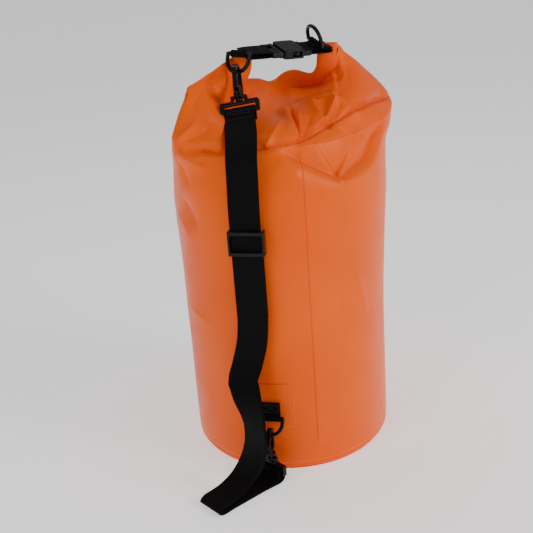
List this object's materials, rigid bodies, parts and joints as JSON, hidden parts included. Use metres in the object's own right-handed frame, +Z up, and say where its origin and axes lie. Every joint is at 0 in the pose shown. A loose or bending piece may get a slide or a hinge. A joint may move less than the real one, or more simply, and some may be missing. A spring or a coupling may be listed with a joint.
{
  "type": "roll-top dry bag",
  "caption": "Roll-top dry bag: coated-fabric tube with a round base, buckled carrying loop and a shoulder strap on swivel hooks.",
  "frame": {"origin": "centre of the base's underside", "axes": "+Z up; +X along the shoulder folds and the closure, from the buckle's plug to its socket; -Y the side that carries the lap seam"},
  "size_m": [0.3858, 0.2766, 0.5529],
  "materials": {
    "coated_fabric": "smooth coated fabric with a soft sheen",
    "strap_webbing": "woven polypropylene webbing, matt",
    "closure_webbing": "woven polypropylene webbing, matt",
    "strip_plastic": "matt",
    "buckle_plastic": "moulded, satin gloss",
    "hook_plastic": "moulded, satin gloss",
    "ring_plastic": "moulded, satin gloss"
  },
  "bodies": {
    "root": {"bag_shell": "coated_fabric", "base_disc": "coated_fabric", "rolled_mouth": "coated_fabric", "stiffener_strip": "strip_plastic", "closure_webbing_left": "closure_webbing", "closure_webbing_right": "closure_webbing", "buckle_socket": "buckle_plastic", "upper_swivel_eye": "hook_plastic", "lower_swivel_eye": "hook_plastic", "webbing_outer_run": "strap_webbing", "webbing_inner_run": "strap_webbing", "patch": "coated_fabric", "lower_tab": "closure_webbing"},
    "plug": {"buckle_plug": "buckle_plastic"},
    "latch_front": {"latch_arm_front": "buckle_plastic"},
    "latch_back": {"latch_arm_back": "buckle_plastic"},
    "strap_ring": {"strap_ring": "ring_plastic"},
    "spare_ring": {"spare_ring": "ring_plastic"},
    "lower_ring": {"lower_ring": "ring_plastic"},
    "upper_hook": {"upper_hook": "hook_plastic"},
    "upper_gate": {"upper_gate": "hook_plastic"},
    "lower_hook": {"lower_hook": "hook_plastic"},
    "lower_gate": {"lower_gate": "hook_plastic"},
    "slider": {"slider": "ring_plastic", "webbing_sewn_end": "strap_webbing"}
  },
  "joints": [
    {"name": "plug_release", "type": "slide", "parent": "root", "child": "plug", "axis": [-0.9973, 0.0348, 0.0645], "range_m": [0, 0.0045], "stiffness_N_per_m": 25},
    {"name": "latch_back_squeeze", "type": "hinge", "parent": "plug", "child": "latch_back", "pos_m": [0.00511, -0.00505, 0.52922], "axis": [0.0524, -0.2776, 0.9593], "range_deg": [-9, 0]},
    {"name": "latch_front_squeeze", "type": "hinge", "parent": "plug", "child": "latch_front", "pos_m": [0.00414, -0.02329, 0.52399], "axis": [0.0524, -0.2776, 0.9593], "range_deg": [0, 9]},
    {"name": "strap_ring_swing", "type": "hinge", "parent": "root", "child": "strap_ring", "pos_m": [-0.052, -0.013, 0.531], "axis": [0.4067, -0.9135, 0], "range_deg": [-4, 3]},
    {"name": "spare_ring_swing", "type": "hinge", "parent": "root", "child": "spare_ring", "pos_m": [0.05823, -0.01786, 0.52949], "axis": [0.0513, 0.9601, 0.2751], "range_deg": [-50, 100]},
    {"name": "lower_ring_swing", "type": "hinge", "parent": "root", "child": "lower_ring", "pos_m": [-0.10041, -0.10041, 0.084], "axis": [0.7071, -0.7071, 0], "range_deg": [-4, 4]},
    {"name": "upper_hook_swivel", "type": "hinge", "parent": "root", "child": "upper_hook", "pos_m": [-0.06712, -0.03044, 0.48296], "axis": [0.2578, 0.4494, 0.8554], "range_deg": [-10, 6]},
    {"name": "upper_gate_press", "type": "hinge", "parent": "upper_hook", "child": "upper_gate", "pos_m": [-0.07003, -0.02968, 0.49933], "axis": [0.6984, -0.6984, 0.1564], "range_deg": [-20, 0], "stiffness_Nm_per_rad": 0.02},
    {"name": "lower_hook_swivel", "type": "hinge", "parent": "root", "child": "lower_hook", "pos_m": [-0.10933, -0.10933, 0.03398], "axis": [0, 0, 1], "range_deg": [-12, 12]},
    {"name": "lower_gate_press", "type": "hinge", "parent": "lower_hook", "child": "lower_gate", "pos_m": [-0.11612, -0.11612, 0.04758], "axis": [0.7071, -0.7071, 0], "range_deg": [-20, 0], "stiffness_Nm_per_rad": 0.02},
    {"name": "slider_adjust", "type": "slide", "parent": "root", "child": "slider", "axis": [0, 0, 1], "range_m": [-0.06, 0.02]}
  ],
  "couplings": [
    {"joint": "latch_back_squeeze", "follows": "plug_release", "rad_per_m": -34.907},
    {"joint": "latch_front_squeeze", "follows": "plug_release", "rad_per_m": 34.907}
  ]
}
